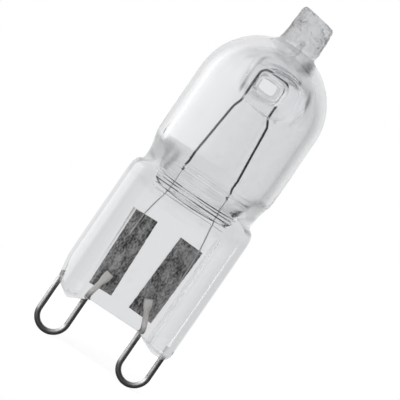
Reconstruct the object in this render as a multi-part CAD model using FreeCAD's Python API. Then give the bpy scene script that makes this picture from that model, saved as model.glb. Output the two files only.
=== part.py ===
import FreeCAD, Part
import os
from math import copysign, cos, degrees, pi, radians, sin, tan

# Two-loop halogen capsule lamp. Millimetres, +Z from the base to the exhaust tip, X across the two
# contact loops. The origin is midway between the loops, in the plane of the seal's feet.

V = FreeCAD.Vector
FLAT = V(0, 0, 1)

# Contact loops, bent from round wire
contact_spacing = 9.0         # centre of one loop to centre of the other
loop_width = 3.0              # axis to axis of a loop's two legs
wire_diameter = 0.56
loop_reach = 4.06             # bottom of a loop below the seal's feet
free_end_height = 1.17        # where the outer leg ends, in its groove
leg_bend_height = 1.3         # where the inner leg bends towards its foil
leg_bend_radius = 1.6
weld_length = 1.3             # flattened end of the inner leg
weld_width = 0.84
weld_thickness = 0.48
weld_lap = 1.75               # top of the weld above the foil's foot
weld_sink = 0.08              # how far the wire is pressed flat against the foil

# Pinch seal: a thin web between two thick rails
seal_margin = 0.5             # glass outside the axis of an outer leg
seal_height = 13.3            # feet to the start of the shoulders
shoulder_radius = 1.0
shoulder_rise = 1.3           # how far the press runs up inside the neck
shoulder_taper = 2.0          # how far it narrows there, each side
rail_thickness = 4.7
rail_rounding = 1.6
rail_width = 2.2              # outer side to the edge of the web
rail_slope = 0.7              # width of a rail's slanted inner side
web_thickness = 2.5
web_top = 12.2                # where the web ends below the neck
web_run_out = 1.3             # height of the slope from there out to the rails' face
web_fillet = 0.5
web_corner = 0.8
foot_drop = 0.9               # how far the feet reach below the web
foot_radius = 0.9
foot_width = 2.0              # outer side to the start of the slant up to the web
foot_slant = 1.8              # width of that slant
groove_clearance = 0.03
groove_length = 2.4           # run-out of the groove above the wire's free end
left_taper = 0.55             # how far the left rail's side draws in towards its foot
left_taper_height = 3.4
left_corner_height = 0.8      # slanted corner of the left foot
left_corner_width = 1.1

# Bulb, blown from the same tube
bulb_diameter = 12.6
wall = 1.0
neck_width = 11.68
neck_height = 1.65            # neck's waist above the start of the shoulders
neck_root = 0.85              # neck's depth where it starts, as a share of the rails'
neck_rings = 6
bulb_start = 17.8             # where the round bulb begins
bulb_length = 6.4             # round length below the dome
slit_width = 8.5              # bottom of the cavity, where the tube was pressed flat
slit_thickness = 0.4
slit_height = 13.5
slit_depth = 0.35             # how far the slit's middle dips
slit_dip_share = 0.65         # width of that dip, as a share of the slit's

# Glass bridge: two dimples pressed in from front and back until they fuse
bridge_height = 25.9
bridge_width = 2.7
bridge_thickness = 2.3
bridge_floor = 1.2            # fused glass between the two dimples
dimple_wall = 0.34
dimple_rise = 0.4             # how far a dimple's mouth lies above the bridge
dimple_flare = 6              # power of the curve from the straight hole out to the mouth
dimple_squareness = 3.2       # 2 is an oval, more is nearer to a rectangle
mouth_width = 5.4
mouth_height = 4.2
mouth_rounding = 0.7
dimple_rings = 9
ring_points = 32

# Exhaust tip, pinched flat while hot
tip_width = 3.94
tip_end_width = 3.6
tip_thickness = 3.4
tip_end_thickness = 2.1
tip_height = 3.4              # above the dome
tip_offset = 0.2
tip_slant = 9.0               # degrees, across the end
tip_rounding = 0.4
tip_rings = 3
tip_root_angle = 60           # degrees up the dome, where the stub starts inside it
tip_end_angles = (30, 60, 85)  # degrees round the end's rounded edge
bore_diameter = 1.5           # what is left of the exhaust tube's bore
bore_height = 1.3             # above the dome

# Foils and leads sealed in the web
foil_width = 2.56
foil_length = 8.0
foil_thickness = 0.04
foil_bottom = 2.15
foil_toe = 2.25               # degrees that each foil leans in at its foot
foil_reach = {"left": 2.63, "right": 2.17}
weld_inset = {"left": 0.1, "right": 0.26}
lead_diameter = 0.14
lead_sink = 0.03
lead_lap = {"left": 2.3, "right": 3.7}
lead_entry = {"left": 0.19, "right": 0.86}     # outside the foil's middle, at its top
lead_finish = {"left": 0.33, "right": 1.18}    # and at the lead's end
lead_bend_radius = 1.2

# Coiled filament, hung over the bridge
coil_diameter = 0.26
coil_clearance = 0.02
coil_bottom = 15.85
coil_spread = {"left": 2.42, "right": 2.66}
coil_kink_height = 22.9
coil_kink_rise = 0.75
coil_kink = {"left": 0.28, "right": 0.44}      # how far the coil stands out below the bridge
coil_bend_radius = 0.35

SIDES = {"left": -1, "right": 1}
seam = 0.001                  # how near two edges are to count as one
wire_radius = wire_diameter / 2
coil_radius = coil_diameter / 2
bulb_radius = bulb_diameter / 2
seal_half = (contact_spacing + loop_width) / 2 + seal_margin
rail_half = rail_thickness / 2
web_half = web_thickness / 2
web_edge = seal_half - rail_width
dome_centre = bulb_start + bulb_length
dome_top = dome_centre + bulb_radius
foil_front = wire_radius - weld_sink
neck_waist = seal_height + neck_height


def oval(half_x, half_y, centre, normal=FLAT):
    """Closed oval about a centre, lying flat or facing along a normal in the XZ or YZ plane."""
    quarter = 0 if half_x >= half_y else pi / 2
    curve = Part.Ellipse(V(), max(half_x, half_y), min(half_x, half_y))
    halves = [Part.ArcOfEllipse(curve, turn - quarter, turn + pi - quarter).toShape() for turn in (0, pi)]
    ring = Part.Wire(halves)
    ring.rotate(V(), FLAT, degrees(quarter))
    ring.Placement = FreeCAD.Placement(centre, FreeCAD.Rotation(FLAT, normal)) * ring.Placement
    return ring


def squared_oval(half_x, half_z, centre):
    """Closed curve facing along Y, between an oval and a rectangle."""
    points = []
    for step in range(ring_points):
        turn = 2 * pi * step / ring_points
        x = copysign(abs(cos(turn)) ** (2 / dimple_squareness), cos(turn))
        z = copysign(abs(sin(turn)) ** (2 / dimple_squareness), sin(turn))
        points.append(centre + V(half_x * x, 0, half_z * z))
    curve = Part.BSplineCurve()
    curve.interpolate(points, PeriodicFlag=True)
    return Part.Wire(curve.toShape())


def loft(rings, ruled=False):
    return Part.makeLoft(rings, True, ruled)


def ease(share):
    """Smooth step from 0 to 1, level at both ends."""
    return (1 - cos(pi * min(max(share, 0), 1))) / 2


def rounded_path(points, radius):
    """Straight runs through the points, with a tangent arc at each inner one."""
    edges = []
    start = points[0]
    for before, corner, after in zip(points, points[1:], points[2:]):
        back = (before - corner).normalize()
        ahead = (after - corner).normalize()
        half_angle = back.getAngle(ahead) / 2
        setback = radius / tan(half_angle)
        inward = (back + ahead).normalize()
        arc_start = corner + back * setback
        arc_end = corner + ahead * setback
        arc_middle = corner + inward * (radius / sin(half_angle) - radius)
        edges.append(Part.makeLine(start, arc_start))
        edges.append(Part.Arc(arc_start, arc_middle, arc_end).toShape())
        start = arc_end
    edges.append(Part.makeLine(start, points[-1]))
    return Part.Wire(edges)


def round_wire(path, diameter):
    first = path.OrderedEdges[0]
    start = first.FirstParameter
    ring = Part.Circle(first.valueAt(start), first.tangentAt(start), diameter / 2)
    return path.makePipeShell([Part.Wire(ring.toShape())], True, False)


def prism(edges, depth):
    """Closed outline in the XZ plane, thickened evenly to front and back."""
    face = Part.Face(Part.Wire(Part.__sortEdges__(edges)))
    face.translate(V(0, -depth / 2, 0))
    return face.extrude(V(0, depth, 0))


def mirrored_pair(shape):
    return shape.fuse(shape.mirror(V(), V(1, 0, 0))).removeSplitter()


def foil_middle(side, height):
    """X of a foil's centre line: each foil leans in towards the lamp's axis at its foot."""
    above_centre = height - foil_bottom - foil_length / 2
    return SIDES[side] * (foil_reach[side] + above_centre * tan(radians(foil_toe)))


def foil(side):
    centre = V(foil_middle(side, foil_bottom + foil_length / 2), foil_front, foil_bottom + foil_length / 2)
    strip = Part.makeBox(foil_width, foil_thickness, foil_length, V(-foil_width / 2, 0, -foil_length / 2))
    strip.rotate(V(), V(0, 1, 0), SIDES[side] * foil_toe)
    strip.translate(centre)
    return strip


def contact_loop(side):
    sign = SIDES[side]
    outer_x = sign * (contact_spacing + loop_width) / 2
    inner_x = sign * (contact_spacing - loop_width) / 2
    bend_z = wire_radius + loop_width / 2 - loop_reach
    bottom = V(sign * contact_spacing / 2, 0, wire_radius - loop_reach)
    weld_z = foil_bottom + weld_lap
    weld_end = V(foil_middle(side, weld_z) - sign * weld_inset[side], 0, weld_z)
    leg_bend = V(inner_x, 0, leg_bend_height)
    rise = (weld_end - leg_bend).normalize()
    weld_start = weld_end - rise * weld_length

    free_leg = Part.makeLine(V(outer_x, 0, free_end_height), V(outer_x, 0, bend_z))
    turn = Part.Arc(V(outer_x, 0, bend_z), bottom, V(inner_x, 0, bend_z)).toShape()
    sealed_leg = rounded_path([V(inner_x, 0, bend_z), leg_bend, weld_start], leg_bend_radius)
    wire = round_wire(Part.Wire([free_leg, turn] + sealed_leg.Edges), wire_diameter)

    flat = (weld_width / 2, weld_thickness / 2)
    pressed = weld_start + rise * (weld_length / 2)
    paddle = loft([oval(wire_radius, wire_radius, weld_start, rise), oval(*flat, pressed, rise),
                   oval(*flat, weld_end, rise)])
    foil_corner = foil_bottom - foil_width * tan(radians(foil_toe))
    behind_foil = Part.makeBox(loop_width * 2, wire_diameter, weld_lap + foil_length)
    behind_foil.translate(V(weld_end.x - loop_width, foil_front, foil_corner))
    return wire.fuse(paddle).cut(behind_foil).removeSplitter()


def filament():
    """Envelope of the coil: up one side, over the bridge and down the other."""
    hang_x = bridge_width / 2 + coil_clearance + coil_radius
    hang_rise = bridge_thickness / 2 + coil_clearance + coil_radius

    def leg(side):
        sign = SIDES[side]
        kink = V(sign * (hang_x + coil_kink[side]), 0, coil_kink_height)
        return [V(sign * coil_spread[side], 0, coil_bottom), kink,
                V(sign * hang_x, 0, coil_kink_height + coil_kink_rise), V(sign * hang_x, 0, bridge_height)]

    over = FreeCAD.Matrix()
    over.scale(hang_x, 1, hang_rise)
    over.move(V(0, 0, bridge_height))
    half_turn = Part.Arc(V(-1, 0, 0), V(0, 0, 1), V(1, 0, 0)).toShape().transformGeometry(over)
    up = rounded_path(leg("left"), coil_bend_radius)
    down = rounded_path(leg("right")[::-1], coil_bend_radius)
    return round_wire(Part.Wire(up.Edges + [half_turn] + down.Edges), coil_diameter)


def inner_lead(side, coil):
    """Thin wire from the coil's end down through the slit to its lap on the foil."""
    sign = SIDES[side]
    on_foil = foil_front - lead_diameter / 2 + lead_sink
    foil_top = foil_bottom + foil_length
    lead_end = foil_top - lead_lap[side]
    x = sign * coil_spread[side]
    path = rounded_path([
        V(x, 0, coil_bottom + coil_diameter),
        V(x, 0, slit_height + lead_diameter),
        V(foil_middle(side, foil_top) + sign * lead_entry[side], on_foil, foil_top),
        V(foil_middle(side, lead_end) + sign * lead_finish[side], on_foil, lead_end),
    ], lead_bend_radius)
    return round_wire(path, lead_diameter).cut([coil, foil(side)])


def seal():
    """Pressed plate with rounded sides, its front outline, and the two pockets that leave the web."""
    foot_inner = seal_half - foot_width
    slant_inner = foot_inner - foot_slant
    shoulder_x = seal_half - shoulder_radius
    shoulder_z = seal_height + shoulder_radius
    top_x = shoulder_x - shoulder_taper
    top_z = shoulder_z + shoulder_rise
    diagonal = sin(radians(45))
    corners = [V(shoulder_x, 0, shoulder_z), V(top_x, 0, top_z), V(0, 0, top_z), V(0, 0, foot_drop),
               V(slant_inner, 0, foot_drop), V(foot_inner, 0, 0), V(seal_half - foot_radius, 0, 0)]
    foot_arc = Part.Arc(
        V(seal_half - foot_radius, 0, 0),
        V(seal_half - foot_radius * (1 - diagonal), 0, foot_radius * (1 - diagonal)),
        V(seal_half, 0, foot_radius)).toShape()
    shoulder_arc = Part.Arc(
        V(seal_half, 0, seal_height),
        V(shoulder_x + shoulder_radius * diagonal, 0, seal_height + shoulder_radius * diagonal),
        V(shoulder_x, 0, shoulder_z)).toShape()
    side = Part.makeLine(V(seal_half, 0, foot_radius), V(seal_half, 0, seal_height))
    outline = [foot_arc, side, shoulder_arc] + Part.makePolygon(corners).Edges
    front = mirrored_pair(prism(outline, 2 * rail_thickness))

    plate = Part.makeBox(2 * seal_half, rail_thickness, top_z, V(-seal_half, -rail_half, 0))
    upright = [edge for edge in plate.Edges if edge.BoundBox.ZLength > top_z - seam]
    plate = plate.makeFillet(rail_rounding, upright).common(front)
    pocket = web_pocket()
    return plate.cut([pocket, pocket.mirror(V(), V(0, 1, 0))])


def web_pocket():
    """Drafted pocket in the front of the seal, open at its foot."""
    depth = rail_half - web_half
    reach = rail_half + depth - web_half

    def arch(half, top, y):
        bend = web_corner * (1 - sin(radians(45)))
        edges = [
            Part.makeLine(V(-half, y, -foot_drop), V(-half, y, top - web_corner)),
            Part.Arc(V(-half, y, top - web_corner), V(bend - half, y, top - bend),
                     V(web_corner - half, y, top)).toShape(),
            Part.makeLine(V(web_corner - half, y, top), V(half - web_corner, y, top)),
            Part.Arc(V(half - web_corner, y, top), V(half - bend, y, top - bend),
                     V(half, y, top - web_corner)).toShape(),
            Part.makeLine(V(half, y, top - web_corner), V(half, y, -foot_drop)),
            Part.makeLine(V(half, y, -foot_drop), V(-half, y, -foot_drop)),
        ]
        return Part.Wire(edges)

    overshoot = reach / depth
    pocket = loft([
        arch(web_edge, web_top, -web_half),
        arch(web_edge + rail_slope * overshoot, web_top + web_run_out * overshoot, -web_half - reach),
    ], ruled=True)
    inner_edges = [edge for edge in pocket.Edges
                   if abs(edge.CenterOfMass.y + web_half) < seam and edge.CenterOfMass.z > 0]
    return pocket.makeFillet(web_fillet, inner_edges)


def leg_groove():
    """Open groove in the right rail's narrow side, for the outer leg's free end."""
    floor_x = seal_half - seal_margin - wire_radius - groove_clearance
    stop_z = free_end_height + groove_clearance
    side_x = seal_half + seal_margin
    ledge = V(floor_x + wire_radius, 0, stop_z + groove_clearance)
    corners = [
        V(floor_x, 0, -foot_drop), V(floor_x, 0, stop_z), ledge, V(side_x, 0, stop_z + groove_length),
        V(side_x, 0, -foot_drop), V(floor_x, 0, -foot_drop),
    ]
    return prism(Part.makePolygon(corners).Edges, wire_diameter + 2 * groove_clearance)


def left_foot_waste():
    """What the press left off the left foot: a tapered side and a slanted corner."""
    corner_x = left_taper - seal_half
    slant_x = corner_x + left_corner_width
    outside_x = -seal_half - seal_margin
    corners = [
        V(-seal_half, 0, left_taper_height), V(corner_x, 0, left_corner_height), V(slant_x, 0, 0),
        V(slant_x, 0, -foot_drop), V(outside_x, 0, -foot_drop), V(outside_x, 0, left_taper_height),
        V(-seal_half, 0, left_taper_height),
    ]
    return prism(Part.makePolygon(corners).Edges, 2 * rail_thickness)


def round_bulb(radius):
    """Round part of the bulb and its dome, from the neck up."""
    crown = sin(radians(45)) * radius
    equator = V(radius, 0, dome_centre)
    pole = V(0, 0, dome_centre + radius)
    edges = [
        Part.makeLine(V(0, 0, bulb_start), V(radius, 0, bulb_start)),
        Part.makeLine(V(radius, 0, bulb_start), equator),
        Part.Arc(equator, V(crown, 0, dome_centre + crown), pole).toShape(),
        Part.makeLine(pole, V(0, 0, bulb_start)),
    ]
    return Part.Face(Part.Wire(edges)).revolve(V(), FLAT, 360)


def dimpled_bulb():
    """Round bulb with both dimples pressed in and their mouths rounded."""
    back = dimple()
    bulb = round_bulb(bulb_radius).cut([back, back.mirror(V(), V(0, 1, 0))])
    mouths = [edge for edge in bulb.Edges
              if abs(edge.CenterOfMass.y) > bulb_radius / 2 and edge.CenterOfMass.z > dome_centre]
    return bulb.makeFillet(mouth_rounding, mouths)


def neck():
    """Blend from the flat press to the round bulb, with the waist that shows from the front."""
    rings = []
    root = rail_half * neck_root
    for step in range(neck_rings + 1):
        share = step / neck_rings
        z = seal_height + share * (bulb_start - seal_height)
        opening = ease((z - neck_waist) / (bulb_start - neck_waist))
        half_x = neck_width / 2 + (bulb_radius - neck_width / 2) * opening
        half_y = root + (bulb_radius - root) * ease(share)
        rings.append(oval(half_x, half_y, V(0, 0, z)))
    return loft(rings)


def neck_cavity(radius):
    """Inside of the neck, closing to a flat slit whose middle dips."""
    slit_half = slit_width / 2
    thin_half = slit_thickness / 2
    lowest = V(0, 0, slit_height - slit_depth)
    rings = [oval(slit_half * slit_dip_share, thin_half * slit_dip_share, lowest)]
    for step in range(neck_rings + 1):
        share = step / neck_rings
        half_x = slit_half + (radius - slit_half) * ease(share)
        half_y = thin_half + (radius - thin_half) * ease(share)
        rings.append(oval(half_x, half_y, V(0, 0, slit_height + share * (bulb_start - slit_height))))
    return loft(rings)


def dimple_ring(y, extra=0.0):
    """Section of a dimple at a depth y, widening like a trumpet to its mouth."""
    share = abs(y) / bulb_radius
    floor_x = bridge_width / 2 - dimple_wall
    floor_z = bridge_thickness / 2 - dimple_wall
    half_x = floor_x + (mouth_width / 2 - floor_x) * share ** dimple_flare + extra
    half_z = floor_z + (mouth_height / 2 - floor_z) * share ** dimple_flare + extra
    return squared_oval(half_x, half_z, V(0, y, bridge_height + dimple_rise * share ** 2))


def dimple():
    """Hollow of the back dimple, from its floor at the bridge out past the bulb's wall."""
    floor = bridge_floor / 2
    reach = (bulb_radius - floor) / dimple_rings
    return loft([dimple_ring(floor + reach * step) for step in range(dimple_rings + 1)])


def dimple_sleeve():
    """Glass round both dimples, from wall to wall."""
    rings = []
    for step in range(-dimple_rings, dimple_rings + 1):
        share = abs(step) / dimple_rings
        thickness = dimple_wall + (wall - dimple_wall) * share
        rings.append(dimple_ring(bulb_radius * step / dimple_rings, thickness))
    return loft(rings)


def exhaust_tip():
    """Stub of the exhaust tube, pinched flat towards a slanted, rounded end."""
    root = V(tip_offset, 0, dome_centre + bulb_radius * sin(radians(tip_root_angle)))
    length = dome_top + tip_height - tip_rounding - root.z
    rings = []
    for step in range(tip_rings + 1):
        share = step / tip_rings
        half_x = (tip_width + (tip_end_width - tip_width) * share) / 2
        half_y = (tip_thickness + (tip_end_thickness - tip_thickness) * ease(share)) / 2
        normal = V(sin(radians(tip_slant * share)), 0, cos(radians(tip_slant * share)))
        rings.append(oval(half_x, half_y, root + FLAT * (share * length), normal))
    shoulder = root + FLAT * length
    for turn in tip_end_angles:
        inset = tip_rounding * (1 - cos(radians(turn)))
        end = shoulder + normal * (tip_rounding * sin(radians(turn)))
        rings.append(oval(tip_end_width / 2 - inset, tip_end_thickness / 2 - inset, end, normal))
    return loft(rings)


def exhaust_bore():
    root_z = dome_centre + bulb_radius - 2 * wall
    return Part.makeCone(bore_diameter / 2, 0, dome_top + bore_height - root_z, V(tip_offset, 0, root_z))


def glass_envelope(sealed_pieces):
    inner_radius = bulb_radius - wall
    groove = leg_groove()
    outside = dimpled_bulb().fuse([neck(), seal(), exhaust_tip()])
    outside = outside.cut([groove, groove.mirror(V(), V(1, 0, 0)), left_foot_waste()])
    inside = round_bulb(inner_radius).fuse([neck_cavity(inner_radius), exhaust_bore()]).cut(dimple_sleeve())
    return outside.cut(inside).cut(sealed_pieces)


coil = filament()
parts = {"filament": coil}
for side in SIDES:
    parts["foil_" + side] = foil(side)
    parts["contact_loop_" + side] = contact_loop(side)
    parts["inner_lead_" + side] = inner_lead(side, coil)
parts["glass_envelope"] = glass_envelope([shape for node, shape in parts.items() if node != "filament"])

os.makedirs("parts", exist_ok=True)
for node, shape in parts.items():
    shape.exportStep(f"parts/{node}.step")
    state = "valid" if shape.isValid() else "NOT VALID"
    print(node, state, len(shape.Solids), "solid", round(shape.Volume, 3), "mm3")
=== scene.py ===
import math

import bpy
import numpy as np
from mathutils import Matrix, Vector, noise


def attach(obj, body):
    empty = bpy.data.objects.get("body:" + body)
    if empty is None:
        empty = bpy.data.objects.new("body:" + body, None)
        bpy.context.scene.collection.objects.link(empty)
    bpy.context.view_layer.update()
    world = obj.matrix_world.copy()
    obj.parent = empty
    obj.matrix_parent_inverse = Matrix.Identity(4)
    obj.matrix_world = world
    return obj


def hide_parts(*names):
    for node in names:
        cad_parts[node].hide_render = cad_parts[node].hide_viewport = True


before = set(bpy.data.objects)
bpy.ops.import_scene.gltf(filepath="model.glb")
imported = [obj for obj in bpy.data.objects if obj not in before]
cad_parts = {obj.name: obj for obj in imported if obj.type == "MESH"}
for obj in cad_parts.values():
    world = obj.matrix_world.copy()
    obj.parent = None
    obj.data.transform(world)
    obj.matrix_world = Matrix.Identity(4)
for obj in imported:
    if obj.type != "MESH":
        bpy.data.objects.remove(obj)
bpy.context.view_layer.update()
mm = 0.001
print("frame loaded:", len(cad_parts), "pieces")


class Sock:                                     # an output socket that takes part in sums
    def __init__(self, tree, out):
        self.tree = tree
        self.out = out

    def sum(self, operation, first, second):
        return self.tree.add("ShaderNodeMath", {"operation": operation}, {0: first, 1: second})

    def __add__(self, other):
        return self.sum("ADD", self, other)

    def __radd__(self, other):
        return self.sum("ADD", other, self)

    def __sub__(self, other):
        return self.sum("SUBTRACT", self, other)

    def __rsub__(self, other):
        return self.sum("SUBTRACT", other, self)

    def __mul__(self, other):
        return self.sum("MULTIPLY", self, other)

    def __rmul__(self, other):
        return self.sum("MULTIPLY", other, self)

    def __truediv__(self, other):
        return self.sum("DIVIDE", self, other)

    def __pow__(self, other):
        return self.sum("POWER", self, other)

    def most(self, other):
        return self.sum("MAXIMUM", self, other)

    def __abs__(self):
        return self.tree.add("ShaderNodeMath", {"operation": "ABSOLUTE"}, {0: self})


class Tree:                                     # the nodes of one material or of the world
    def __init__(self, nodeTree):
        self.nodes = nodeTree.nodes
        self.links = nodeTree.links
        self.nodes.clear()

    def add(self, kind, settings=None, sockets=None, out=0):
        made = self.nodes.new(kind)
        for name, value in (settings or {}).items():
            setattr(made, name, value)
        for name, value in (sockets or {}).items():
            if isinstance(value, Sock):
                self.links.new(value.out, made.inputs[name])
            else:
                made.inputs[name].default_value = value
        return Sock(self, made.outputs[out]) if made.outputs else made

    def blend(self, share, first, second):      # two colours by a share
        return self.add("ShaderNodeMix", {"data_type": "RGBA"}, {0: share, 6: first, 7: second}, out=2)

    def span(self, value, low, high):           # a smooth step
        return self.add("ShaderNodeMapRange", {"interpolation_type": "SMOOTHSTEP"},
                        {"Value": value, "From Min": low, "From Max": high})

    def zone(self, measures, edges):            # a mask that several smooth steps bound
        steps = [self.span(measures[name], *edge) for name, pairs in edges.items() for edge in pairs]
        mask = steps[0]
        for step in steps[1:]:
            mask = mask * step
        return mask

    def grain(self, scale, detail=3.0, stretch=(1.0, 1.0, 1.0)):   # noise in millimetres
        place = self.add("ShaderNodeTexCoord", out=3)
        spread = self.add("ShaderNodeVectorMath", {"operation": "MULTIPLY"},
                          {0: place, 1: tuple(part / mm for part in stretch)})
        return self.add("ShaderNodeTexNoise", {}, {"Vector": spread, "Scale": scale, "Detail": detail})

    def place(self, axis):                      # millimetres from the lamp's origin
        spot = self.add("ShaderNodeTexCoord", out=3)
        return self.add("ShaderNodeSeparateXYZ", {}, {0: spot}, out="XYZ".index(axis)) / mm

    def relief(self, height, strength, depth):  # bump in millimetres
        return self.add("ShaderNodeBump", {},
                        {"Height": height, "Strength": strength, "Distance": depth * mm})


def newMaterial(name):
    made = bpy.data.materials.new(name)
    made.use_nodes = True
    return made, Tree(made.node_tree)


def grey(level, warm=0.0):
    return (level * (1 + warm), level, level * (1 - warm), 1.0)


def showPiece(name, points, faces, material):
    mesh = bpy.data.meshes.new(name)
    mesh.from_pydata([tuple(float(part) * mm for part in point) for point in points], [], faces)
    mesh.validate()
    mesh.update()
    mesh.polygons.foreach_set("use_smooth", [True] * len(mesh.polygons))
    mesh.materials.append(material)
    piece = bpy.data.objects.new(name, mesh)
    bpy.context.scene.collection.objects.link(piece)
    return piece


def standIn(piece, node):                 # a finer piece in a CAD node's place
    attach(piece, "root")
    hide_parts(node)


def ease(share):
    share = np.clip(share, 0.0, 1.0)
    return 0.5 - 0.5 * np.cos(np.pi * share)


def softMost(first, second, blend):             # the larger of two, rounded where they cross
    near = np.maximum(blend - np.abs(first - second), 0.0) / blend
    return np.maximum(first, second) + near ** 2 * blend / 4.0


def softShare(value, blend):                    # a straight climb from 0 to 1 with rounded corners
    return softMost(value, 0.0, blend) - softMost(value - 1.0, 0.0, blend)


def arcLength(points):
    steps = np.linalg.norm(np.diff(points, axis=0), axis=1)
    return np.concatenate([[0.0], np.cumsum(steps)])


def resample(points, step):
    along = arcLength(points)
    count = max(2, int(round(along[-1] / step)) + 1)
    places = np.linspace(0.0, along[-1], count)
    return np.stack([np.interp(places, along, points[:, axis]) for axis in range(3)], axis=1)


def roundedPath(corners, radii, step):          # straight runs joined by arcs
    corners = [np.array(corner, float) for corner in corners]
    points = [corners[0]]
    for before, corner, after, radius in zip(corners, corners[1:], corners[2:], radii):
        inward = (before - corner) / np.linalg.norm(before - corner)
        onward = (after - corner) / np.linalg.norm(after - corner)
        half = 0.5 * math.acos(float(np.clip(inward @ onward, -1.0, 1.0)))
        reach = radius / math.tan(half)
        middle = (inward + onward) / np.linalg.norm(inward + onward)
        centre = corner + middle * radius / math.sin(half)
        start = corner + inward * reach - centre
        finish = corner + onward * reach - centre
        turn = math.pi - 2.0 * half
        count = max(3, int(radius * turn / step))
        for place in np.linspace(0.0, 1.0, count + 1):
            share = math.sin((1.0 - place) * turn) * start + math.sin(place * turn) * finish
            points.append(centre + share / math.sin(turn))
    points.append(corners[-1])
    return resample(np.array(points), step)


def carriedFrames(points):                      # tangent and two normals carried along a path
    tangents = np.gradient(points, axis=0)
    tangents /= np.linalg.norm(tangents, axis=1)[:, None]
    side = np.cross(tangents[0], (0.0, 1.0, 0.0))
    side /= np.linalg.norm(side)
    sides = []
    for tangent in tangents:
        side = side - tangent * (side @ tangent)
        side /= np.linalg.norm(side)
        sides.append(side)
    sides = np.array(sides)
    return tangents, sides, np.cross(tangents, sides)


def sweep(points, across, through, sides):      # an oval section along a path, ends closed
    tangents, first, second = carriedFrames(points)
    angles = np.linspace(0.0, 2.0 * math.pi, sides, endpoint=False)
    rings = (points[:, None, :]
             + first[:, None, :] * np.cos(angles)[None, :, None] * np.reshape(across, (-1, 1, 1))
             + second[:, None, :] * np.sin(angles)[None, :, None] * np.reshape(through, (-1, 1, 1)))
    count = len(points)
    faces = []
    for ring in range(count - 1):
        for side in range(sides):
            onward = (side + 1) % sides
            faces.append((ring * sides + side, ring * sides + onward,
                          (ring + 1) * sides + onward, (ring + 1) * sides + side))
    faces.append(tuple(range(sides))[::-1])
    faces.append(tuple((count - 1) * sides + side for side in range(sides)))
    return list(rings.reshape(-1, 3)), faces


glass = {
    "columns": 240, "innerColumns": 184, "sideColumns": 4, "sideAngle": 0.9,
    "sealHalf": 6.5, "sealTop": 13.3, "shoulderRound": 1.0, "shoulderRise": 1.3, "shoulderTaper": 2.0,
    "shoulderSoft": 0.7, "shoulderLap": 0.25, "shoulderBlend": 0.4,
    "sideFlat": 0.75, "railRound": 1.6, "railHalf": 2.35, "crestEnd": 1.35, "railSlope": 1.05,
    "slopeSoft": 0.8,
    "webHalf": 1.25, "webTop": 12.2, "webRunOut": 1.3, "webBottom": 0.9, "slantStart": 2.7, "footStart": 4.5,
    "footRound": 0.9, "footSoft": 0.2, "edgeRound": 0.4, "footReach": 3.5, "footStep": 0.15,
    "leftTaper": 0.55, "leftTaperTop": 3.4, "leftCornerHeight": 0.8, "leftCornerAcross": 1.1, "leftSoft": 0.2,
    "sideSoft": 0.05, "waist": 5.84, "waistHeight": 14.95, "neckRoot": 2.0, "bulbStart": 17.8,
    "bulbRadius": 6.3, "domeHeight": 24.2, "wall": 1.0,
    "webStep": 0.08, "neckStep": 0.05, "neckFine": 2.6, "neckRows": 16, "bulbRows": 12,
    "seamSoft": 0.7, "seamStart": 0.6, "meltLow": 12.4, "meltHigh": 17.0, "meltRounds": 60, "meltRate": 0.8,
    "tipAcross": 1.94, "tipEndAcross": 1.78, "tipThrough": 1.62, "tipEndThrough": 1.02, "tipTop": 33.85,
    "tipOffset": 0.2, "tipSlant": 9.0, "tipRound": 0.4, "tipSoft": 0.7, "tipCrush": 0.1,
    "slitHalf": 4.25, "slitBottom": 13.15, "slitRise": 0.8, "neckWall": 1.25,
    "rippleTall": 0.055, "rippleLong": 0.3, "rippleTop": 0.7,
    "boreRadius": 0.34, "boreTop": 31.1, "boreSoft": 0.3,
}


def sealBottom(x):                              # height of the feet's lower edge
    g = glass
    shifts = np.linspace(-g["footSoft"], g["footSoft"], 5)
    total = np.zeros_like(x)
    slant = g["sealHalf"] - g["leftTaper"] - g["leftCornerAcross"]
    for shift in shifts:
        reach = np.minimum(np.abs(x) + shift, g["sealHalf"])
        corner = np.maximum(-x - shift - slant, 0.0) * g["leftCornerHeight"] / g["leftCornerAcross"]
        beyond = np.clip(reach - g["sealHalf"] + g["footRound"], 0.0, g["footRound"])
        total += np.interp(reach, [g["slantStart"], g["footStart"]], [g["webBottom"], 0.0])
        total += np.maximum(g["footRound"] - np.sqrt(g["footRound"] ** 2 - beyond ** 2), corner)
    return total / len(shifts)


def pressHalf(z):                               # half width of the plate, its shoulders and run into the neck
    g = glass
    rise = np.clip(z - g["sealTop"], 0.0, g["shoulderRound"])
    rounded = g["sealHalf"] - g["shoulderRound"] + math.sqrt(g["shoulderRound"] ** 2 - rise ** 2)
    beyond = max(z - g["sealTop"] - g["shoulderRound"], 0.0)
    return rounded - g["shoulderTaper"] * beyond / g["shoulderRise"]


def neckHalf(z):
    g = glass
    share = (z - g["waistHeight"]) / (g["bulbStart"] - g["waistHeight"])
    return g["waist"] + (g["bulbRadius"] - g["waist"]) * ease(share)


def neckThrough(z):
    g = glass
    share = (z - g["sealTop"]) / (g["bulbStart"] - g["sealTop"])
    return g["neckRoot"] + (g["bulbRadius"] - g["neckRoot"]) * ease(share)


def columnAngles(count):                        # a few extra columns on the seal's narrow sides
    tight = math.radians(glass["sideAngle"])
    extra = np.linspace(-tight, tight, 2 * glass["sideColumns"] + 1)
    quarter = np.linspace(tight, math.pi - tight, count // 2)[1:-1]
    return np.concatenate([extra, quarter, math.pi + extra, math.pi + quarter])


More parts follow.
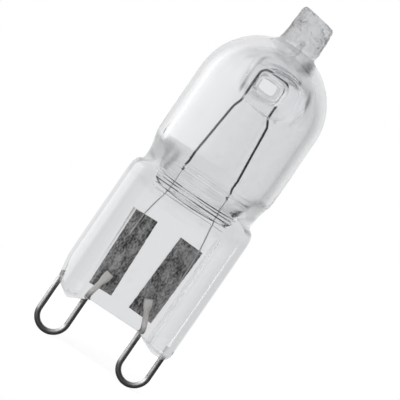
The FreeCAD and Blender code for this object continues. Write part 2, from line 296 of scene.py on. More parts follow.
def pressDepth(inset, z):                       # half thickness of the plate, by distance from its side
    g = glass
    rounded = g["railRound"] - np.clip(inset, 0.0, g["railRound"])
    rail = g["railHalf"] - g["railRound"] + np.sqrt(np.maximum(g["railRound"] ** 2 - rounded ** 2, 0.0))
    climb = softShare((z - g["webTop"]) / g["webRunOut"], g["slopeSoft"])
    web = g["webHalf"] + (g["railHalf"] - g["webHalf"]) * climb
    return rail + (web - rail) * softShare((inset - g["crestEnd"]) / g["railSlope"], g["slopeSoft"])


def leftCut(reach, z):                          # what the left rail's side draws in towards its foot
    g = glass
    share = np.clip((g["leftTaperTop"] - z) / (g["leftTaperTop"] - g["leftCornerHeight"]), 0.0, 1.0)
    return softMost(reach - g["sealHalf"] + g["leftTaper"] * share, 0.0, g["leftSoft"] * share + 1e-6)


def sealRing(z, angles, inset=0.0):
    g = glass
    tight = math.radians(g["sideAngle"])
    press, neck = pressHalf(z), neckHalf(z)
    across = press
    if z >= g["sealTop"]:
        grown = min((z - g["sealTop"]) / g["seamStart"], 1.0)
        across = float(softMost(press, neck, g["seamSoft"] * grown + 1e-6))
    lean = np.abs((angles + math.pi / 2) % math.pi - math.pi / 2)           # angle from the narrow side
    beyond = np.maximum(lean - tight, 0.0) * (math.pi / 2) / (math.pi / 2 - tight)
    x = across * np.cos(beyond) * np.sign(np.cos(angles))
    plate = pressDepth(g["sealHalf"] - np.abs(x), z)
    side = np.minimum(lean / tight, 1.0)
    if z < g["sealTop"]:
        depth = np.where(lean < tight, g["sideFlat"] * side, plate) - inset * side
    else:
        within = np.clip((press - np.abs(x)) / g["shoulderSoft"] + g["shoulderLap"], 0.0, 1.0)
        plate = np.where(lean < tight, g["sideFlat"] * side, plate) * np.sqrt(1.0 - (1.0 - within) ** 2)
        belly = neckThrough(z) * np.sqrt(np.clip(1.0 - (x / neck) ** 2, 0.0, 1.0))
        depth = softMost(plate, belly, g["seamSoft"]) * (1.0 - (1.0 - side) ** 2)
        past = z - g["sealTop"] - g["shoulderRound"] - g["shoulderRise"] + g["shoulderBlend"]
        depth = depth + (belly - depth) * ease(past / g["shoulderBlend"])
    y = depth * np.sign(np.round(np.sin(angles), 9))
    return x, y


def outerRings(angles):
    g = glass
    rings = []
    reach, bend = g["footReach"], g["edgeRound"]
    rounded = bend * (1.0 - np.cos(np.radians(np.linspace(0.0, 90.0, 7))))
    rises = np.concatenate([rounded, np.arange(bend + g["footStep"], reach, g["footStep"]), [reach]])
    for rise in rises:
        under = max(bend - rise, 0.0)
        x, y = sealRing(reach, angles, bend - math.sqrt(bend ** 2 - under ** 2))
        cut = np.zeros_like(x)
        for settle in range(6):                 # the side's taper and the foot's edge settle together
            low = sealBottom(x - np.sign(x) * cut)
            z = low + rise * (reach - low) / reach
            cut = softMost(0.0, np.where(x < 0.0, leftCut(np.abs(x), z), 0.0), g["sideSoft"])
        rings.append(np.stack([x - np.sign(x) * cut, y, z], axis=1))
    top = g["sealTop"]
    fine = top + g["neckFine"]
    heights = np.concatenate([
        np.linspace(reach, g["webTop"] - 0.3, 12)[1:], np.arange(g["webTop"] - 0.2, top, g["webStep"]),
        np.arange(top, fine, g["neckStep"]), np.linspace(fine, g["bulbStart"], g["neckRows"])])
    for z in heights:
        x, y = sealRing(z, angles)
        rings.append(np.stack([x, y, np.full_like(x, z)], axis=1))
    for z in np.linspace(g["bulbStart"], g["domeHeight"], g["bulbRows"])[1:]:
        rings.append(np.stack([g["bulbRadius"] * np.cos(angles), g["bulbRadius"] * np.sin(angles),
                               np.full_like(angles, z)], axis=1))
    return soften(rings, g["meltLow"], g["meltHigh"], g["meltRounds"]) + domeRings(angles)


def soften(rings, low, high, rounds):           # seams melted into one another between two heights
    points = np.array(rings)
    deep = points[:, :, 1]
    heights = points[:, :, 2].mean(axis=1)
    share = (ease((heights - low) / 1.0) * ease((high - heights) / 1.0))[1:-1, None]
    for melt in range(rounds):
        beside = np.roll(deep, 1, axis=1)[1:-1], np.roll(deep, -1, axis=1)[1:-1]
        around = 0.25 * (deep[2:] + deep[:-2] + beside[0] + beside[1])
        deep[1:-1] += glass["meltRate"] * share * (around - deep[1:-1])
    return list(points)


def crush(point, grow):                         # hollows that the tongs left in the tip
    place = Vector(point) * 1.1
    depth = noise.noise(place) + 0.5 * noise.noise(place * 2.3) + 0.3 * noise.noise(place * 4.7)
    turn = math.atan2(point[1], point[0] - glass["tipOffset"])
    return np.array([math.cos(turn), math.sin(turn), 0.2]) * depth * glass["tipCrush"] * grow


def domeRings(angles):                          # the dome, the nipped tip and its slanted end
    g = glass
    root = g["domeHeight"] + g["bulbRadius"]
    lifts = g["domeHeight"] + g["bulbRadius"] * np.sin(np.radians(np.arange(2.5, 68.0, 2.5)))
    bend = g["tipTop"] - g["tipRound"]
    heights = np.concatenate([
        lifts, np.arange(lifts[-1] + 0.04, root + 0.5, 0.045), np.arange(root + 0.5, bend, 0.09),
        bend + g["tipRound"] * np.sin(np.radians(np.linspace(0.0, 84.0, 8)))])
    rings = []
    for z in heights:
        dome = math.sqrt(max(g["bulbRadius"] ** 2 - (z - g["domeHeight"]) ** 2, 0.0)) if z < root else 0.0
        rise = float(np.clip((z - root) / (g["tipTop"] - root), 0.0, 1.0))
        under = max(z - bend, 0.0)
        nip = g["tipRound"] - math.sqrt(max(g["tipRound"] ** 2 - under ** 2, 0.0))
        tipWide = g["tipAcross"] + (g["tipEndAcross"] - g["tipAcross"]) * rise
        tipDeep = g["tipThrough"] + (g["tipEndThrough"] - g["tipThrough"]) * ease(rise)
        wide = softMost(dome, tipWide, g["tipSoft"]) - nip
        deep = softMost(dome, tipDeep, g["tipSoft"]) - nip
        grow = float(ease((z - root + 0.6) / 1.2))
        x = wide * np.cos(angles) + g["tipOffset"] * grow
        slant = math.tan(math.radians(g["tipSlant"])) * (x - g["tipOffset"])
        tall = z - slant * ease((z - root - 0.3) / 2.4)
        ring = np.stack([x, deep * np.sin(angles), tall], axis=1)
        rings.append(ring if grow <= 0.0 else np.array([point + crush(point, grow) for point in ring]))
    return rings


def innerRings(angles):                         # the hollow, from the slit in the seal to the bore in the tip
    g = glass
    radius = g["bulbRadius"] - g["wall"]
    bend = g["slitBottom"] + g["slitRise"]
    rings = []
    heights = np.concatenate([
        bend - g["slitRise"] * np.cos(np.radians(np.linspace(5.0, 90.0, 26))),
        np.linspace(bend, bend + 0.8, 28)[1:],
        np.linspace(bend + 0.8, g["bulbStart"], 26)[1:],
        np.linspace(g["bulbStart"], g["domeHeight"], g["bulbRows"])[1:],
        g["domeHeight"] + radius * np.sin(np.radians(np.arange(3.0, 85.0, 3.0)))])
    for z in heights:
        closing = math.sqrt(1.0 - np.clip((bend - z) / g["slitRise"], 0.0, 1.0) ** 2)
        rise = ease((z - bend) / (g["bulbStart"] - bend))
        across = (g["slitHalf"] + (radius - g["slitHalf"]) * rise) * closing
        through = (neckThrough(z) - g["neckWall"] - (g["wall"] - g["neckWall"]) * rise) * closing
        fold = ease((z - g["slitBottom"]) / 0.3) * ease((bend + g["rippleTop"] - z) / 0.4)
        through = through + g["rippleTall"] * fold * math.sin(2.0 * math.pi * z / g["rippleLong"])
        if z > g["domeHeight"]:
            across = through = math.sqrt(radius ** 2 - (z - g["domeHeight"]) ** 2)
        level = np.full_like(angles, z)
        rings.append(np.stack([across * np.cos(angles), through * np.sin(angles), level], axis=1))
    root = g["domeHeight"] + radius
    for z in np.linspace(heights[-1] + 0.05, g["boreTop"], 24):
        dome = math.sqrt(max(radius ** 2 - (z - g["domeHeight"]) ** 2, 0.0)) if z < root else 0.0
        left = 1.0 - ((z - heights[-1]) / (g["boreTop"] + 0.02 - heights[-1])) ** 3
        bore = max(g["boreRadius"] * math.sqrt(max(left, 0.0)), 0.02)
        wide = max(float(softMost(dome, bore, g["boreSoft"])), 0.02)
        shift = g["tipOffset"] * float(ease((z - root + 0.4) / 1.4))
        level = np.full_like(angles, z)
        rings.append(np.stack([wide * np.cos(angles) + shift, wide * np.sin(angles), level], axis=1))
    return rings


class Shell:                                    # points and faces gathered piece by piece
    def __init__(self):
        self.points = []
        self.faces = []

    def put(self, points):
        start = len(self.points)
        self.points.extend(np.array(point, float) for point in points)
        return list(range(start, start + len(points)))

    def join(self, first, second, flip):
        count = len(first)
        for place in range(count):
            onward = (place + 1) % count
            quad = (first[place], first[onward], second[onward], second[place])
            self.faces.append(quad[::-1] if flip else quad)

    def fan(self, ring, flip):
        middle = self.put([np.mean([self.points[place] for place in ring], axis=0)])[0]
        for place in range(len(ring)):
            face = (ring[place], ring[(place + 1) % len(ring)], middle)
            self.faces.append(face[::-1] if flip else face)


def wallWithMouths(shell, rings, angles, window, flip):   # a wall of rings, a block left open front and back
    rows = [shell.put(ring) for ring in rings]
    count = len(angles)
    middles = 0.5 * (angles + np.append(angles[1:], angles[0] + 2.0 * math.pi))
    heights = [float(np.mean(ring[:, 2])) for ring in rings]
    low = int(np.searchsorted(heights, window["low"]))
    high = int(np.searchsorted(heights, window["high"]))
    wide = math.radians(window["angle"])
    edges = {}
    for facing, centre in (("back", math.pi / 2), ("front", 1.5 * math.pi)):
        inside = [place for place in range(count) if abs(middles[place] - centre) < wide]
        edges[facing] = (inside[0], inside[-1] + 1)
    for row in range(len(rows) - 1):
        for place in range(count):
            onward = (place + 1) % count
            if low <= row < high and any(start <= place < end for start, end in edges.values()):
                continue
            quad = (rows[row][place], rows[row][onward], rows[row + 1][onward], rows[row + 1][place])
            shell.faces.append(quad[::-1] if flip else quad)
    borders = {}
    for facing, (start, end) in edges.items():
        border = [rows[low][place] for place in range(start, end)]
        border += [rows[row][end] for row in range(low, high)]
        border += [rows[high][place] for place in range(end, start, -1)]
        border += [rows[row][start] for row in range(high, low, -1)]
        borders[facing] = border
    return rows, borders


def sphereDepth(x, z, radius):
    rise = np.maximum(z - glass["domeHeight"], 0.0)
    return np.sqrt(np.maximum(radius ** 2 - x ** 2 - rise ** 2, 0.01))


dimple = {
    "window": {"low": 22.9, "high": 29.3, "angle": 33.0},
    "innerWindow": {"low": 22.5, "high": 28.95, "angle": 38.0},
    "skirt": 9, "loops": 28, "lip": 0.18, "lowLip": 0.4, "height": 25.9, "rise": 0.5,
    "floor": 0.6, "sink": 0.07,
    "across": 1.1, "tall": 0.8, "mouthAcross": 1.9, "mouthTall": 1.62, "flare": 1.3, "square": 3.6,
    "wall": 0.28, "thicken": 0.3, "seam": 0.05,
}


def bareHole(share):                            # the dimple's own face
    return 0.0


def sleeveWall(share):                          # glass round the dimple, thicker towards its mouth
    return dimple["wall"] + dimple["thicken"] * share ** 2


def mouthLoops(border, radius, facing, extra, floor):   # loops from a square border down the dimple
    g = dimple
    raised = g["height"] + g["rise"]
    turns = np.arctan2(border[:, 2] - raised, border[:, 0])
    rim = np.stack([np.cos(turns), np.sin(turns)], axis=1)

    def section(deep):                          # a squared oval, each column at its own depth
        share = deep / glass["bulbRadius"]
        wide = g["across"] + (g["mouthAcross"] - g["across"]) * share ** g["flare"] + extra(share)
        tall = g["tall"] + (g["mouthTall"] - g["tall"]) * share ** g["flare"] + extra(share)
        power = g["square"]
        reach = (np.abs(rim[:, 0] / wide) ** power + np.abs(rim[:, 1] / tall) ** power) ** (-1.0 / power)
        centre = g["height"] + g["rise"] * share ** g["flare"]
        return np.stack([reach * rim[:, 0], reach * rim[:, 1] + centre], axis=1)

    loops = []
    lips = g["lip"] + g["lowLip"] * np.maximum(-rim[:, 1], 0.0)
    mouth = section(np.full_like(turns, radius))
    for settle in range(14):                    # where the trumpet meets the wall
        mouth = 0.5 * mouth + 0.5 * section(sphereDepth(mouth[:, 0], mouth[:, 1], radius))
    lip = mouth + rim * lips[:, None]
    for share in np.linspace(0.0, 1.0, g["skirt"] + 1)[1:]:
        flat = border[:, [0, 2]] * (1.0 - share) + lip * share
        deep = facing * sphereDepth(flat[:, 0], flat[:, 1], radius)
        loops.append(np.stack([flat[:, 0], deep, flat[:, 1]], axis=1))
    edge = sphereDepth(lip[:, 0], lip[:, 1], radius)
    for share in np.linspace(0.0, 1.0, g["loops"] + 1)[1:]:
        deep = floor + (edge - floor) * (1.0 - share ** 1.6)                 # closer loops near the mouth
        roll = np.maximum(1.0 - (edge - deep) / (2.5 * lips), 0.0)
        flat = section(deep) + rim * (lips * roll ** 2)[:, None]
        loops.append(np.stack([flat[:, 0], facing * deep, flat[:, 1]], axis=1))
    return loops


def floorLoops(last, facing):                   # the dimple's flat floor, rounded at its corner
    g = dimple
    middle = np.array([0.0, 0.0, g["height"]])
    loops = []
    for share in (0.985, 0.96, 0.92, 0.5, 0.2):
        sunk = g["floor"] + g["sink"] * max(share - 0.92, 0.0) / 0.08
        loop = middle + (last - middle) * share
        loop[:, 1] = facing * sunk
        loops.append(loop)
    return loops


def makeGlass():
    g = glass
    shell = Shell()
    angles = columnAngles(g["columns"])
    rows, borders = wallWithMouths(shell, outerRings(angles), angles, dimple["window"], False)
    bottom = rows[0]
    count = len(angles)
    middle = g["sideColumns"]
    for place in range(count // 2):             # the seal's underside, front joined to back
        ring = [bottom[(middle + step) % count] for step in (-place, -place - 1, place + 1, place)]
        ring = list(dict.fromkeys(ring))
        if len(ring) > 2:
            shell.faces.append(tuple(ring))
    shell.fan(rows[-1], False)
    for facing, sign in (("front", -1.0), ("back", 1.0)):
        last = borders[facing]
        border = np.array([shell.points[place] for place in last])
        loops = mouthLoops(border, g["bulbRadius"], sign, bareHole, dimple["floor"] + dimple["sink"])
        for loop in loops + floorLoops(loops[-1], sign):
            made = shell.put(loop)
            shell.join(last, made, False)
            last = made
        shell.fan(last, False)
    innerAngles = np.linspace(0.0, 2.0 * math.pi, g["innerColumns"], endpoint=False)
    rows, borders = wallWithMouths(shell, innerRings(innerAngles), innerAngles, dimple["innerWindow"], True)
    shell.fan(rows[0], False)
    shell.fan(rows[-1], True)
    ends = {}
    for facing, sign in (("front", -1.0), ("back", 1.0)):
        last = borders[facing]
        border = np.array([shell.points[place] for place in last])
        for loop in mouthLoops(border, g["bulbRadius"] - g["wall"], sign, sleeveWall, dimple["seam"]):
            made = shell.put(loop)
            shell.join(last, made, True)
            last = made
        ends[facing] = last
    spots = np.array([shell.points[place] for place in ends["front"]])
    back = []
    for place in ends["back"]:                  # the back loop in the front loop's order
        target = shell.points[place] * np.array([1.0, -1.0, 1.0])
        back.append((int(np.argmin(np.linalg.norm(spots - target, axis=1))), place))
    shell.join(ends["front"], [place for spot, place in sorted(back)], True)
    return shell


glassLook = {
    "clear": (0.865, 0.87, 0.88, 1.0), "thick": (0.8, 0.805, 0.815, 1.0),
    "crumpled": (0.7, 0.705, 0.715, 1.0), "still": (0.935, 0.94, 0.945, 1.0),
    "haze": (0.49, 0.5, 0.51, 1.0), "hazeDensity": 100.0, "ior": 1.458,
    "rough": 0.01, "smearRough": 0.03, "tipRough": 0.1, "chillRough": 0.15,
    "smear": (0.55, 0.8), "tip": {"rise": [(29.9, 30.9)]}, "crumple": 110.0, "relief": (0.3, 0.04),
    "rail": {"reach": [(4.0, 4.6)], "rise": [(13.4, 12.6)]},
}
stillZones = {                                  # share of light let straight through, and each zone's edges
    "neck": (0.75, {"reach": [(3.6, 4.3)], "rise": [(13.7, 14.2), (17.4, 16.2)]}),
    "feet": (0.75, {"rise": [(0.7, 0.2)]}),
    "slope": (0.65, {"reach": [(3.9, 4.3), (5.7, 5.2)], "rise": [(13.0, 12.0)]}),
    "root": (0.62, {"reach": [(2.4, 1.6)], "rise": [(28.6, 29.2), (30.9, 30.3)]}),
    "sleeve": (0.95, {"depth": [(1.25, 1.65)], "within": [(5.15, 4.9)], "rise": [(21.0, 22.0)]}),
    "lip": (0.9, {"ring": [(0.7, 0.85), (1.75, 1.45)], "rise": [(28.4, 27.0)], "depth": [(2.0, 3.0)]}),
}


def glassMaterial():
    g = glassLook
    made, tree = newMaterial("clear glass")
    rise, reach, depth = tree.place("Z"), abs(tree.place("X")), abs(tree.place("Y"))
    upright = abs((rise - (dimple["height"] + dimple["rise"])) / dimple["mouthTall"])
    within = (reach ** 2.0 + depth ** 2.0 + (rise - glass["domeHeight"]) ** 2.0) ** 0.5   # from the dome
    ring = ((reach / dimple["mouthAcross"]) ** 3.0 + upright ** 3.0) ** 0.33   # 1 at a dimple's mouth
    measures = {"rise": rise, "reach": reach, "depth": depth, "within": within, "ring": ring}
    zones = {name: tree.zone(measures, edges) for name, (share, edges) in stillZones.items()}
    shares = [share * zones[name] for name, (share, edges) in stillZones.items()]
    calm = shares[0]
    for share in shares[1:]:
        calm = calm.most(share)
    chilled = zones["neck"].most(zones["feet"])
    smear = tree.span(tree.grain(0.8, 4.0), *g["smear"])
    nipped = tree.zone(measures, g["tip"])
    rail = tree.zone(measures, g["rail"])
    tinted = tree.blend(smear.most(rail), g["clear"], g["thick"])
    rough = g["rough"] + g["smearRough"] * smear + g["tipRough"] * nipped + g["chillRough"] * chilled
    height = tree.grain(0.35, 2.0) + g["crumple"] * nipped * tree.grain(1.4, 4.0)
    bent = tree.add("ShaderNodeBsdfPrincipled", {}, {
        "Base Color": tree.blend(nipped, tinted, g["crumpled"]), "Roughness": rough, "IOR": g["ior"],
        "Transmission Weight": 1.0, "Normal": tree.relief(height, *g["relief"])})
    still = tree.add("ShaderNodeBsdfTransparent", {}, {"Color": g["still"]})
    mixed = tree.add("ShaderNodeMixShader", {}, {0: calm, 1: bent, 2: still})   # less bent in the zones
    haze = tree.add("ShaderNodeVolumeAbsorption", {}, {"Color": g["haze"], "Density": g["hazeDensity"]})
    tree.add("ShaderNodeOutputMaterial", {}, {"Surface": mixed, "Volume": haze})
    return made


shell = makeGlass()
glassPiece = showPiece("glassCapsule", shell.points, shell.faces, glassMaterial())
standIn(glassPiece, "glass_envelope")
print("glass:", len(shell.faces), "faces")


foils = {
    "width": 2.56, "length": 8.0, "bottom": 2.15, "toe": 2.25, "front": 0.2, "thick": 0.04,
    "reach": {-1: 2.63, 1: 2.17}, "crinkle": 0.035, "ragged": 0.05, "columns": 30, "rows": 90,
    "nodes": {-1: "foil_left", 1: "foil_right"},
}
loops = {
    "half": 4.5, "turn": 1.5, "wire": 0.28, "reach": 4.06, "freeEnd": 1.17, "bendHeight": 1.3,
    "bendRadius": 1.6,
    "weldTop": 3.9, "weldLength": 1.3, "weldAcross": 0.42, "weldThrough": 0.24, "inset": {-1: 0.1, 1: 0.26},
    "sides": 28, "step": 0.06, "cutRound": 0.06, "nodes": {-1: "contact_loop_left", 1: "contact_loop_right"},
}


def foilMiddle(side, height):
    rise = height - foils["bottom"] - foils["length"] / 2
    return side * (foils["reach"][side] + rise * math.tan(math.radians(foils["toe"])))


def metalMaterial(name, level, rough, dullAndPaintedLightAbove=None):   # dull and pale where the glass holds it; the pale colour is partly painted light, making up for the light that the glass keeps off the wire
    made, tree = newMaterial(name)
    drawn = tree.grain(3.0, 2.0, (1.0, 1.0, 0.06))
    dull = tree.span(tree.grain(0.9, 4.0), 0.45, 0.75)
    colour = tree.blend(dull, grey(level, 0.01), grey(level * 0.8, 0.02))
    dullPaintedLightInGlass = tree.span(tree.place("Z"), dullAndPaintedLightAbove, dullAndPaintedLightAbove + 0.7) if dullAndPaintedLightAbove else 0.0 * dull
    # painted light in part: inside the glass the wire's colour turns pale, partly its own look in the seal
    # and partly a painted lightening for the light the glass keeps off it
    colour = tree.blend(dullPaintedLightInGlass, colour, tree.blend(dull, grey(0.85, 0.03), grey(0.6, 0.04)))
    roughness = rough + 0.08 * dull + 0.08 * drawn + 0.3 * dullPaintedLightInGlass
    shader = tree.add("ShaderNodeBsdfPrincipled", {}, {
        "Base Color": colour, "Metallic": 1.0 - 0.7 * dullPaintedLightInGlass, "Roughness": roughness})
    tree.add("ShaderNodeOutputMaterial", {}, {"Surface": shader})
    return made


def loopPath(side):
    g = loops
    low = g["wire"] + g["turn"] - g["reach"]
    outer = side * (g["half"] + g["turn"])
    inner = side * (g["half"] - g["turn"])
    bend = [(side * (g["half"] + g["turn"] * math.cos(angle)), 0.0, low - g["turn"] * math.sin(angle))
            for angle in np.linspace(0.0, math.pi, 60)]
    weld = (foilMiddle(side, g["weldTop"]) - side * g["inset"][side], 0.0, g["weldTop"])
    rise = roundedPath([(inner, 0.0, low), (inner, 0.0, g["bendHeight"]), weld], [g["bendRadius"]], g["step"])
    points = np.concatenate([[(outer, 0.0, g["freeEnd"])], bend, rise[1:]])
    return resample(points, g["step"])


wireMaterial = metalMaterial("contact wire", 0.42, 0.34, 1.0)
for side in (-1, 1):
    points = loopPath(side)
    along = arcLength(points)
    left = along[-1] - along
    flat = ease((loops["weldLength"] - left) / (loops["weldLength"] * 0.5))
    across = loops["wire"] + (loops["weldAcross"] - loops["wire"]) * flat
    through = loops["wire"] + (loops["weldThrough"] - loops["wire"]) * flat
    ends = np.minimum(along, left)
    trim = np.clip(1.0 - ends / loops["cutRound"], 0.0, 1.0) ** 2 * loops["cutRound"]
    loopPoints, loopFaces = sweep(points, across - trim, through - trim, loops["sides"])
    loopPiece = showPiece(loops["nodes"][side] + "_wire", loopPoints, loopFaces, wireMaterial)
    standIn(loopPiece, loops["nodes"][side])
print("contact loops")


def foilMaterial():
    made, tree = newMaterial("sealing foil")
    patch = tree.grain(1.4, 4.0, (1.0, 1.0, 0.4))
    fine = tree.grain(6.5, 8.0, (1.0, 1.0, 0.6))
    streak = tree.span(0.6 * fine + 0.5 * patch, 0.38, 0.74)
    colour = tree.blend(streak, grey(0.04), grey(0.56, 0.01))
    shader = tree.add("ShaderNodeBsdfPrincipled", {}, {
        "Base Color": colour, "Metallic": 0.4, "Roughness": 0.4 + 0.2 * fine,
        "Normal": tree.relief(fine, 0.6, 0.03)})
    tree.add("ShaderNodeOutputMaterial", {}, {"Surface": shader})
    return made


def foilSheet(side):                            # a crinkled strip with a thickness
    g = foils
    points = []
    faces = []
    columns, rows = g["columns"], g["rows"]
    lean = math.radians(g["toe"]) * side
    height = g["bottom"] + g["length"] / 2
    middle = (foilMiddle(side, height), g["front"] + g["thick"] / 2, height)
    for skin in (-0.5, 0.5):
        for row in range(rows + 1):
            for column in range(columns + 1):
                u = (column / columns - 0.5) * g["width"]
                v = (row / rows - 0.5) * g["length"]
                place = Vector((u * 1.3 + 9.0 * side, v * 0.9, 3.0))
                edge = min(0.5 - abs(column / columns - 0.5), 0.5) * 2.0
                lift = noise.noise(place) + 0.6 * noise.noise(place * 2.6) + 0.3 * noise.noise(place * 6.0)
                fray = noise.noise(Vector((v * 1.7, side * 5.0, u))) * g["ragged"] * (1.0 - edge) ** 4
                u = u * (1.0 - abs(fray) * 2.0 / g["width"])
                x = u * math.cos(lean) + v * math.sin(lean)
                z = v * math.cos(lean) - u * math.sin(lean)
                y = skin * g["thick"] + lift * g["crinkle"]
                points.append((middle[0] + x, middle[1] + y, middle[2] + z))
    page = (rows + 1) * (columns + 1)
    for skin in (0, 1):
        for row in range(rows):
            for column in range(columns):
                start = skin * page + row * (columns + 1) + column
                quad = (start, start + 1, start + columns + 2, start + columns + 1)
                faces.append(quad if skin == 0 else quad[::-1])
    rim = list(range(columns)) + [row * (columns + 1) + columns for row in range(rows)]
    rim += [rows * (columns + 1) + column for column in range(columns, 0, -1)]
    rim += [row * (columns + 1) for row in range(rows, 0, -1)]
    for place, spot in enumerate(rim):
        onward = rim[(place + 1) % len(rim)]
        faces.append((onward, spot, spot + page, onward + page))
    return points, faces


darkFoil = foilMaterial()
for side in (-1, 1):
    foilPiece = showPiece(foils["nodes"][side] + "_sheet", *foilSheet(side), darkFoil)
    standIn(foilPiece, foils["nodes"][side])
print("foils")


coil = {
    "radius": 0.13, "wire": 0.04, "pitch": 0.095, "turnSteps": 12, "wireSides": 6,
    "spread": {-1: 2.42, 1: 2.66},
    "bottom": 15.85, "kinkHeight": 22.9, "kinkRise": 0.75, "kink": {-1: 0.28, 1: 0.44}, "bendRadius": 0.35,
    "hangAcross": 1.5, "hangTop": 27.3, "hangRadius": 0.7, "pathStep": 0.02,
}


def coilPath():                                 # up one side, over the bridge and down the other
    g = coil
    corners = []
    for side in (-1, 1):
        half = [(side * g["spread"][side], 0.0, g["bottom"]),
                (side * (g["hangAcross"] + g["kink"][side]), 0.0, g["kinkHeight"]),
                (side * g["hangAcross"], 0.0, g["kinkHeight"] + g["kinkRise"]),
                (side * g["hangAcross"], 0.0, g["hangTop"])]
        corners += half if side < 0 else half[::-1]
    bends = [g["bendRadius"]] * 2 + [g["hangRadius"]] * 2 + [g["bendRadius"]] * 2
    return roundedPath(corners, bends, g["pathStep"])


def coilWire():
    g = coil
    path = resample(coilPath(), g["pitch"] / g["turnSteps"])
    tangents, first, second = carriedFrames(path)
    angles = np.arange(len(path)) * 2.0 * math.pi / g["turnSteps"]
    radius = g["radius"] - g["wire"]
    helix = path + radius * (np.cos(angles)[:, None] * first + np.sin(angles)[:, None] * second)
    return sweep(helix, np.full(len(helix), g["wire"]), np.full(len(helix), g["wire"]), g["wireSides"])


def coilMaterial():
    made, tree = newMaterial("filament coil")
    tone = tree.grain(2.0, 3.0)
    shader = tree.add("ShaderNodeBsdfPrincipled", {}, {
        "Base Color": tree.blend(tone, grey(0.03), grey(0.08)), "Metallic": 0.9,
        "Roughness": 0.4 + 0.2 * tone})
    tree.add("ShaderNodeOutputMaterial", {}, {"Surface": shader})
    return made


coilPiece = showPiece("coiledFilament", *coilWire(), coilMaterial())
standIn(coilPiece, "filament")
print("filament")


leads = {
    "radius": 0.07, "sink": 0.03, "lap": {-1: 2.3, 1: 3.7}, "bendRadius": 1.2, "slitHeight": 13.64,
    "inCoil": 0.26,
    "entry": {-1: 0.19, 1: 0.86}, "finish": {-1: 0.33, 1: 1.18}, "sides": 12, "step": 0.05,
    "nodes": {-1: "inner_lead_left", 1: "inner_lead_right"},
}


def leadPath(side):
    g = leads
    depth = foils["front"] - g["radius"] + g["sink"]
    top = foils["bottom"] + foils["length"]
    low = top - g["lap"][side]
    x = side * coil["spread"][side]
    corners = [(x, 0.0, coil["bottom"] + g["inCoil"]), (x, 0.0, g["slitHeight"]),
               (foilMiddle(side, top) + side * g["entry"][side], depth, top),
               (foilMiddle(side, low) + side * g["finish"][side], depth, low)]
    return roundedPath(corners, [g["bendRadius"]] * 2, g["step"])


leadMetal = metalMaterial("lead wire", 0.6, 0.3)
for side in (-1, 1):
    path = leadPath(side)
    thick = np.full(len(path), leads["radius"])
    leadMesh = sweep(path, thick, thick, leads["sides"])
    leadPiece = showPiece(leads["nodes"][side] + "_wire", *leadMesh, leadMetal)
    standIn(leadPiece, leads["nodes"][side])
print("leads")


stage = {
    "floor": -4.06, "floorSize": 40.0, "floorSides": 64, "floorGlow": 0.8, "ambient": 0.85,
    "leftClear": 1.6, "rightClear": 0.7, "left": 4.2, "dark": 0.04, "lampAim": (0.0, 0.0, 15.0),
    "lamps": {"soft box left": (-97.0, 12.0, 200.0, (90.0, 110.0), 0.3),
              "top fill": (-20.0, 58.0, 240.0, (120.0, 120.0), 0.5)},
}


def raysOf(tree):                               # 1 for rays from the camera, through glass, off a mirror
    path = tree.add("ShaderNodeLightPath").out.node
    kinds = "Is Camera Ray", "Is Transmission Ray", "Is Glossy Ray"
    return [Sock(tree, path.outputs[kind]) for kind in kinds]


def makeWorld():
    world = bpy.data.worlds.new("white room")
    world.use_nodes = True
    bpy.context.scene.world = world
    tree = Tree(world.node_tree)
    camera, through, glossy = raysOf(tree)
    parts = tree.add("ShaderNodeSeparateXYZ", {}, {0: tree.add("ShaderNodeTexCoord")}).out.node.outputs
    x, y, z = (Sock(tree, part) for part in parts)
    clear = 1.0 + (stage["leftClear"] - 1.0) * tree.span(x, -0.45, -0.95)   # seen through the glass
    clear = clear - (1.0 - stage["rightClear"]) * tree.span(x, 0.45, 0.95)
    shade = (tree.span(x, -0.3, 0.05) * tree.span(y, 0.85, 0.3)).most(tree.span(z, -0.1, -0.35))
    left = tree.span(x, -0.45, -1.0)
    mirror = (1.0 + (stage["left"] - 1.0) * left) * (1.0 - (1.0 - stage["dark"]) * shade)   # seen in metal
    plain = camera + (1.0 - camera) * stage["ambient"]
    bent = through.most(glossy)
    strength = (1.0 - bent) * plain + through * clear + (1.0 - through) * glossy * mirror
    back = tree.add("ShaderNodeBackground", {}, {"Color": (1.0, 1.0, 1.0, 1.0), "Strength": strength})
    tree.add("ShaderNodeOutputWorld", {}, {"Surface": back})


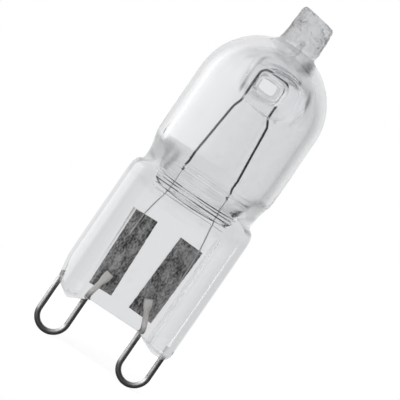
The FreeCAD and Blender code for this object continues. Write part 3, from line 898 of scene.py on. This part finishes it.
def makeFloor():
    made, tree = newMaterial("white sweep")
    camera, through, glossy = raysOf(tree)
    plain = tree.add("ShaderNodeBsdfPrincipled", {}, {"Base Color": grey(0.95), "Roughness": 0.9})
    glow = tree.add("ShaderNodeEmission", {}, {"Color": (1.0, 1.0, 1.0, 1.0), "Strength": 1.0})
    share = camera.most(through).most(glossy) * stage["floorGlow"]
    mixed = tree.add("ShaderNodeMixShader", {}, {0: share, 1: plain, 2: glow})
    under = tree.add("ShaderNodeBsdfPrincipled", {}, {"Base Color": grey(stage["dark"]), "Roughness": 0.9})
    mirrored = glossy * (1.0 - through)
    mixed = tree.add("ShaderNodeMixShader", {}, {0: mirrored, 1: mixed, 2: under})   # dark to the metal
    tree.add("ShaderNodeOutputMaterial", {}, {"Surface": mixed})
    reach, sides = stage["floorSize"], stage["floorSides"]
    turns = np.linspace(0.0, 2.0 * math.pi, sides, endpoint=False)
    corners = [(reach * math.cos(turn), reach * math.sin(turn), stage["floor"]) for turn in turns]
    showPiece("floor", corners, [tuple(range(sides))], made)


def addLamp(name, azimuth, elevation, distance, size, power):
    data = bpy.data.lights.new(name, "AREA")
    data.shape = "RECTANGLE"
    data.size, data.size_y = size[0] * mm, size[1] * mm
    data.energy = power
    made = bpy.data.objects.new(name, data)
    turn, lift = math.radians(azimuth), math.radians(elevation)
    toward = Vector((math.sin(turn) * math.cos(lift), -math.cos(turn) * math.cos(lift), math.sin(lift)))
    made.location = (Vector(stage["lampAim"]) + toward * distance) * mm
    made.rotation_euler = toward.to_track_quat("Z", "Y").to_euler()
    made.visible_glossy = False
    made.visible_transmission = False
    bpy.context.scene.collection.objects.link(made)


makeWorld()
makeFloor()
for name, settings in stage["lamps"].items():
    addLamp(name, *settings)
print("stage")


camera = {
    "target": (0.6, 0.0, 14.0), "azimuth": -9.0, "elevation": 3.5, "roll": 34.5,
    "lens": 300.0, "field": 36.53,
}


def placeCamera():
    azimuth, elevation, roll = (math.radians(camera[name]) for name in ("azimuth", "elevation", "roll"))
    level = math.cos(elevation)
    toward = Vector((math.sin(azimuth) * level, -math.cos(azimuth) * level, math.sin(elevation)))
    right = Vector((0.0, 0.0, 1.0)).cross(toward).normalized()
    up = toward.cross(right)
    turnedRight = right * math.cos(roll) + up * math.sin(roll)
    turnedUp = up * math.cos(roll) - right * math.sin(roll)
    data = bpy.data.cameras.new("camera")
    data.lens = camera["lens"]
    data.clip_start = 0.01
    distance = camera["field"] * mm * camera["lens"] / data.sensor_width
    made = bpy.data.objects.new("camera", data)
    spot = Vector(camera["target"]) * mm + toward * distance
    turned = Matrix((turnedRight, turnedUp, toward)).transposed().to_4x4()
    made.matrix_world = Matrix.Translation(spot) @ turned
    bpy.context.scene.collection.objects.link(made)
    bpy.context.scene.camera = made


placeCamera()
bpy.context.scene.view_settings.view_transform = "Standard"
print("camera and sizes")
